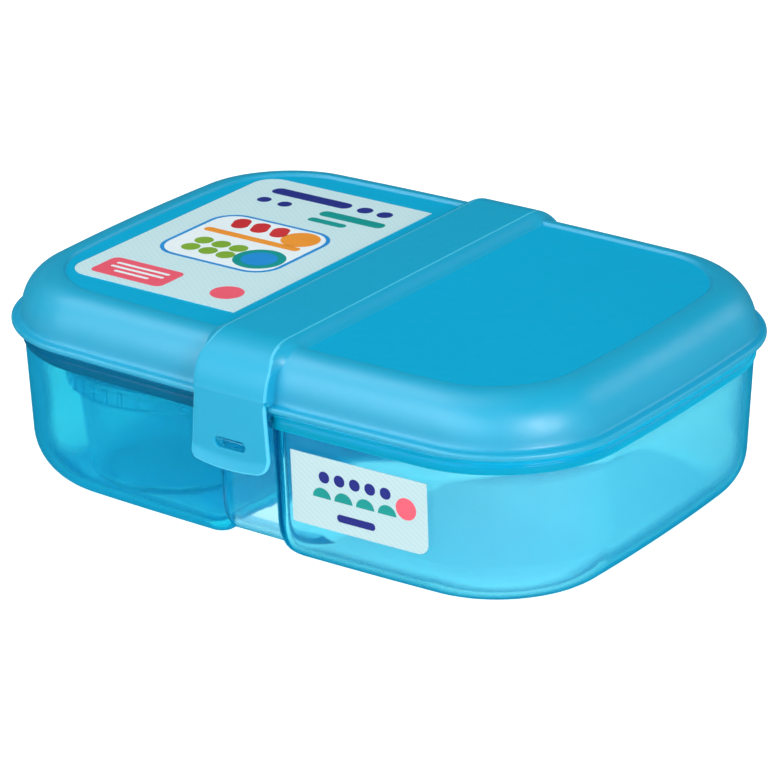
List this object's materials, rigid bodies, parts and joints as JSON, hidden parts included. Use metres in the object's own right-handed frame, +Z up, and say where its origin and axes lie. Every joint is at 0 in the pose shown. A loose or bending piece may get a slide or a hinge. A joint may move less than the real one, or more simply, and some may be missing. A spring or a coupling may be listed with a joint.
{
  "type": "lunch box",
  "caption": "Two-well lunch box: see-through tub, domed lid hinged at the back, ribbon ending in a front clip with a slot, and a round lidded snack pot inside.",
  "frame": {"origin": "centre of the underside, on the table plane", "axes": "+X to the right along the length, -Y to the front where the clip is, +Z up"},
  "size_m": [0.21, 0.1592, 0.0678],
  "materials": {
    "tub_plastic": "clear, tinted aqua blue",
    "lid_plastic": "satin, aqua blue",
    "ribbon_plastic": "fine satin, aqua blue",
    "pot_plastic": "clear, tinted aqua blue",
    "pot_lid_plastic": "satin, blue",
    "top_sticker": "printed film",
    "front_sticker": "printed film"
  },
  "bodies": {
    "base": {"right_well": "tub_plastic", "left_wells": "tub_plastic", "well_divider": "tub_plastic", "channel_bridge": "tub_plastic", "hinge_ears_left": "tub_plastic", "hinge_ears_right": "tub_plastic", "front_label": "front_sticker"},
    "lid": {"lid_shell": "lid_plastic", "hinge_hook_left": "lid_plastic", "hinge_hook_right": "lid_plastic", "ribbon_band": "ribbon_plastic", "top_label": "top_sticker"},
    "clip": {"ribbon_clip": "ribbon_plastic"},
    "pot": {"pot_cup": "pot_plastic"},
    "pot_cap": {"pot_lid": "pot_lid_plastic"}
  },
  "joints": [
    {"name": "lid_hinge", "type": "hinge", "parent": "base", "child": "lid", "pos_m": [0, 0.0774, 0.0475], "axis": [-1, 0, 0], "range_deg": [0, 180]},
    {"name": "clip_hinge", "type": "hinge", "parent": "lid", "child": "clip", "pos_m": [0, -0.0779, 0.05315], "axis": [-1, 0, 0], "range_deg": [0, 75]},
    {"name": "pot_lift", "type": "slide", "parent": "base", "child": "pot", "axis": [0, 0, 1], "range_m": [0, 0.01]},
    {"name": "pot_lid_turn", "type": "hinge", "parent": "pot", "child": "pot_cap", "pos_m": [-0.055, -0.0354, 0.035], "axis": [0, 0, 1], "range_deg": [0, 90]}
  ]
}
